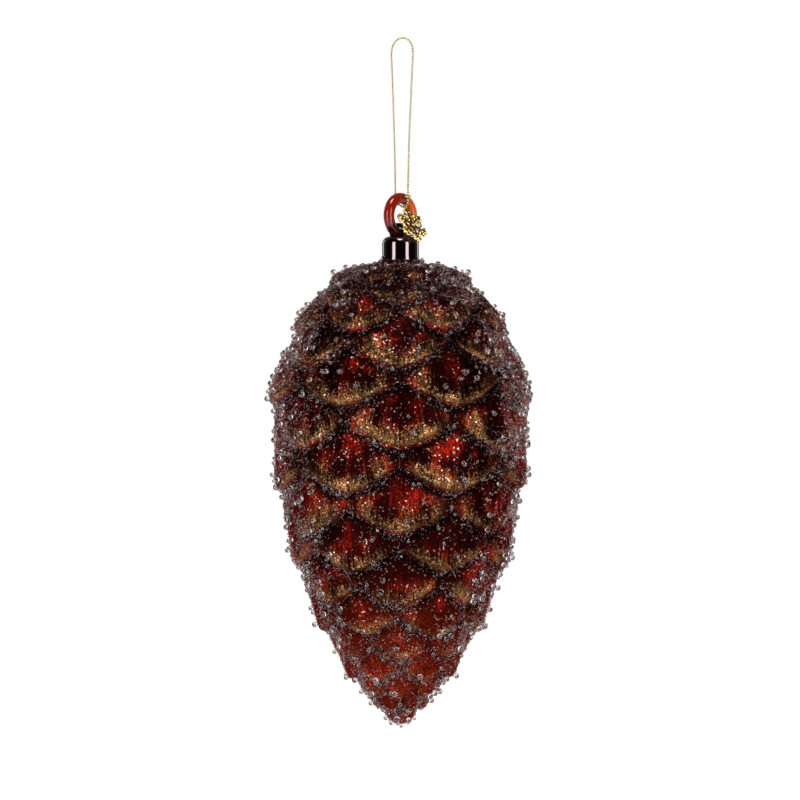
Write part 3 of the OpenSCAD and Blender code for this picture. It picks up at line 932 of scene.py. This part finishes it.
def grainTree(name, share, material, settings):
    values = {label: value for label, value in settings.items() if label != "Ico"}
    tree = Tree(name, **values, Material=material)
    spread = tree.node("GeometryNodeDistributePointsOnFaces", {
        "Mesh": tree.start.outputs["Geometry"], "Distance Min": tree.num("Spacing"), "Seed": tree.num("Seed"),
        "Density Max": tree.num("Density"), "Density Factor": tree.attribute(share)},
        distribute_method="POISSON")
    size = tree.node("FunctionNodeRandomValue", {
        "Min": tree.num("Smallest"), "Max": tree.num("Largest"), "Seed": tree.num("Seed")}, data_type="FLOAT")
    radius = Num(tree.tree, [o for o in size.outputs if o.enabled][0])
    lift = tree.vector("SCALE", {0: spread.outputs["Normal"], "Scale": radius * (1.0 - tree.num("Sunk"))})
    raised = tree.node("GeometryNodeSetPosition", {"Geometry": spread.outputs["Points"], "Offset": lift})
    if settings["Ico"]:
        ball = tree.node("GeometryNodeMeshIcoSphere", {"Radius": 1.0, "Subdivisions": settings["Ico"]})
    else:
        ball = tree.node("GeometryNodeMeshUVSphere", {"Radius": 1.0, "Segments": 4, "Rings": 2})
    turn = tree.node("FunctionNodeRandomValue", {"Seed": tree.num("Seed")}, data_type="FLOAT_VECTOR")
    fullTurn = 6.28
    turn.inputs["Max"].default_value = (fullTurn, fullTurn, fullTurn)
    turnOut = [o for o in turn.outputs if o.enabled][0]
    placed = tree.node("GeometryNodeInstanceOnPoints", {
        "Points": raised.outputs[0], "Instance": ball.outputs["Mesh"], "Rotation": turnOut, "Scale": radius})
    tree.finishSmooth(placed.outputs[0])
    return tree


def smoothStep(low, high, x):
    t = np.clip((x - low) / (high - low), 0, 1)
    return t * t * (3 - 2 * t)


def clumps(body, scale):
    # soft patches between 0 and 1 over the body
    turbulence = [noise.fractal(Vector(p) * scale, 0.6, 2.0, 3) for p in readPoints(body.data)]
    return smoothStep(-0.35, 0.35, np.array(turbulence))


def coverCone(body, marks):
    # stores how thickly glass and frost lie on each point of the cone
    crack = 1 - smoothStep(0.5, 4.0, marks["crack"])
    upper = 1 - smoothStep(20, 60, marks["run"])
    lower = smoothStep(110, 160, marks["run"])
    tip = smoothStep(160, 176, marks["run"])
    zones = {
        "even": 1.0, "crack": crack, "upper": upper, "lower": lower,
        "edge": 1 - smoothStep(0.3, 2.5, marks["toEdge"]),
        "shoulder": smoothStep(20, 35, marks["run"]) * (1 - smoothStep(65, 90, marks["run"])),
        # flank: more frost and grains on the sides that the camera sees edge-on, standing in for the sheen of
        # frost seen at a grazing angle; in frostCover this is painted sheen
        "flank": smoothStep(0.62, 0.93, np.abs(np.sin(marks["turn"] - photoTurn + math.pi / 2))),
        "lowerCrack": (0.04 + 0.3 * crack) * lower,
    }
    exposed = smoothStep(-4.5, -3.0, -marks["below"])
    bared = (1 - 0.6 * upper) * exposed
    clump = clumps(body, 90.0)
    shares = {}
    for name, (weights, least, gain) in coverSettings.items():
        share = sum(weight * zones[zone] for zone, weight in zip(coverZones, weights))
        shares[name] = share * (least + gain * clump)
    shares["beadShare"] = shares["beadShare"] * bared + 0.3 * tip
    shares["grainShare"] = shares["grainShare"] * bared
    shares["frostShare"] = shares["frostShare"] * exposed
    for name, share in shares.items():
        storeValues(body.data, name, np.clip(share, 0, 1))


# camera, world and lamps
lightSettings = {
    "distance": 1.2, "aimZ": -0.0631, "sideShift": 0.00016, "lens": 168.0, "sensor": 36.0, "clipStart": 0.01,
    "world": 0.3, "room": 0.02, "backdrop": 0.4, "backdropReflected": 0.4, "lampAim": (0, 0, -0.09),
    "lampReach": 0.75, "strip": 2.8, "stripTurn": 42, "stripSize": (0.24, 0.6), "rear": 0.7, "rearTurn": 138,
    "rearSize": (0.12, 0.6), "top": 3.6, "topForward": 0.3, "topHeight": 0.75, "topSize": (0.35, 0.35),
}
stageSettings = {
    "size": 3.0, "height": -0.3, "shade": 0.9, "glow": 0.8, "throughGlass": 0.3, "reflected": 0.15,
}
photoTurn = math.radians(-50)
photoSide = Vector((math.sin(photoTurn), -math.cos(photoTurn), 0))
photoRight = Vector((math.cos(photoTurn), math.sin(photoTurn), 0))


def placeCamera(s):
    data = bpy.data.cameras.new("photoCamera")
    data.lens = s["lens"]
    data.sensor_width = s["sensor"]
    data.clip_start = s["clipStart"]
    camera = linked("photoCamera", data)
    camera.location = Vector((0, 0, s["aimZ"])) + photoSide * s["distance"] - photoRight * s["sideShift"]
    camera.rotation_euler = (-photoSide).to_track_quat("-Z", "Y").to_euler()
    bpy.context.scene.camera = camera


def areaLamp(name, place, target, size, power):
    data = bpy.data.lights.new(name, "AREA")
    data.shape = "RECTANGLE"
    data.size, data.size_y = size
    data.energy = power
    lamp = linked(name, data)
    lamp.location = place
    lamp.rotation_euler = (Vector(target) - Vector(place)).to_track_quat("-Z", "Y").to_euler()


def whiteWhenSeen(tree, through, reflected):
    # 1 where the camera meets it, and the given shares of that through glass and in a reflection
    path = tree.nodes.new("ShaderNodeLightPath")
    seen = Num(tree, path.outputs["Is Camera Ray"])
    seen = seen.atLeast(Num(tree, path.outputs["Is Transmission Ray"]) * through)
    return seen.atLeast(Num(tree, path.outputs["Is Glossy Ray"]) * reflected)


def placeLights(s):
    world = bpy.data.worlds.new("studio")
    bpy.context.scene.world = world
    world.use_nodes = True
    tree = world.node_tree
    back = tree.nodes["Background"]
    back.inputs["Color"].default_value = (1, 1, 1, 1)
    # the backdrop stands behind the object and the room in front of it is dim
    behind = tree.nodes.new("ShaderNodeVectorMath")
    behind.operation = "DOT_PRODUCT"
    tree.links.new(tree.nodes.new("ShaderNodeTexCoord").outputs["Generated"], behind.inputs[0])
    behind.inputs[1].default_value = -photoSide
    backdrop = s["room"] + (s["backdrop"] - s["room"]) * Num(tree, behind.outputs["Value"]).ramp(0.0, 0.7)
    path = tree.nodes.new("ShaderNodeLightPath")
    plain = Num(tree, path.outputs["Is Diffuse Ray"]) * s["world"]
    seen = whiteWhenSeen(tree, backdrop, backdrop * s["backdropReflected"])
    tree.links.new(seen.atLeast(plain).socket, back.inputs["Strength"])
    for name, side, size, power in (("leftStrip", -s["stripTurn"], s["stripSize"], s["strip"]),
                                    ("rightStrip", s["stripTurn"], s["stripSize"], s["strip"]),
                                    ("rearLeftStrip", -s["rearTurn"], s["rearSize"], s["rear"]),
                                    ("rearRightStrip", s["rearTurn"], s["rearSize"], s["rear"])):
        turn = photoTurn + math.radians(side)
        place = (s["lampReach"] * math.sin(turn), -s["lampReach"] * math.cos(turn), 0.0)
        areaLamp(name, place, s["lampAim"], size, power)
    above = photoSide * s["topForward"] + Vector((0, 0, s["topHeight"]))
    areaLamp("topSoftbox", tuple(above), s["lampAim"], s["topSize"], s["top"])


def placeStage(s):
    # a pale floor well under the hanging part
    floor = bmesh.new()
    bmesh.ops.create_grid(floor, x_segments=1, y_segments=1, size=s["size"])
    bmesh.ops.translate(floor, verts=floor.verts, vec=(0, 0, s["height"]))
    made = linkedMesh("paleFloor", floor)
    material = bpy.data.materials.new("paleFloor")
    material.use_nodes = True
    tree = material.node_tree
    shader = tree.nodes["Principled BSDF"]
    shader.inputs["Base Color"].default_value = (s["shade"], s["shade"], s["shade"], 1)
    shader.inputs["Roughness"].default_value = 0.9
    shader.inputs["Emission Color"].default_value = (1, 1, 1, 1)
    glow = whiteWhenSeen(tree, s["throughGlass"], s["reflected"]) * s["glow"]
    tree.links.new(glow.socket, shader.inputs["Emission Strength"])
    made.data.materials.append(material)


def makeCone(c):
    table = scaleTable(c)
    guide = meridianCurve()
    scales = grown(scaleTree(guide), pointCloud(table), "scales")
    dropObject(guide)
    print("scales", len(table), "with", countTriangles(scales), "triangles")
    core = latheMesh("core", inMetres(coreProfile(c, scaleSettings)), c["sides"])
    crown = latheMesh("crown", inMetres(crownProfile(c["seatZ"], crownSettings)), c["sides"])
    budPlace = (0, 0, (c["seatZ"] - c["length"] + c["budRadius"]) * mm)
    bud = latheMesh("bud", inMetres(budProfile(c["budRadius"], c["budSteps"])), c["budSides"], budPlace)
    body = joined("coneBody", [scales, core, crown, bud])
    oneSkin(body, c["voxel"], c["triangles"])
    marks = markScales(body, table)
    sharpen(body, c["sharpAngle"])
    body.data.materials.append(conePaint(coneColours, coneLook))
    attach(body, "root")
    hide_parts("pine_cone")
    print("cone body", countTriangles(body), "triangles")
    coverCone(body, marks)
    return body


def scatterGlass(body, name, share, material):
    made = grainTree(name, share, material, grainSettings[name]).apply(body, name)
    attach(made, "root")
    print(name, countTriangles(made), "triangles")


def paintSolid(node, material):
    # a CAD piece whose shape is right gets a better material
    part = bpy.data.objects[node]
    part.data.materials.clear()
    part.data.materials.append(material)


bpy.context.scene.view_settings.view_transform = "Standard"
placeCamera(lightSettings)
makeThread(threadPaint(partColours), makeSnowflake(goldPaint(partColours)))
body = makeCone(coneSettings)
beadGlass = glassPaint("clearBeads", partColours["beadGlass"], 0.0, 1.0, 300.0)
scatterGlass(body, "glassBeads", "beadShare", beadGlass)
grainGlass = glassPaint("glassGrains", partColours["grainGlass"], 0.02, 1.0, 500.0)
scatterGlass(body, "glassGrains", "grainShare", grainGlass)
frostGlass = glassPaint("frostGrains", partColours["frostGlass"], 0.05, 0.97, 600.0)
scatterGlass(body, "frostGrains", "frostShare", frostGlass)
paintSolid("glass_beads", beadGlass)
paintSolid("cap", capPaint(partColours))
paintSolid("hang_ring", ringPaint(partColours, ringFoot=-9.75, ringWidth=15.0))

placeLights(lightSettings)
placeStage(stageSettings)
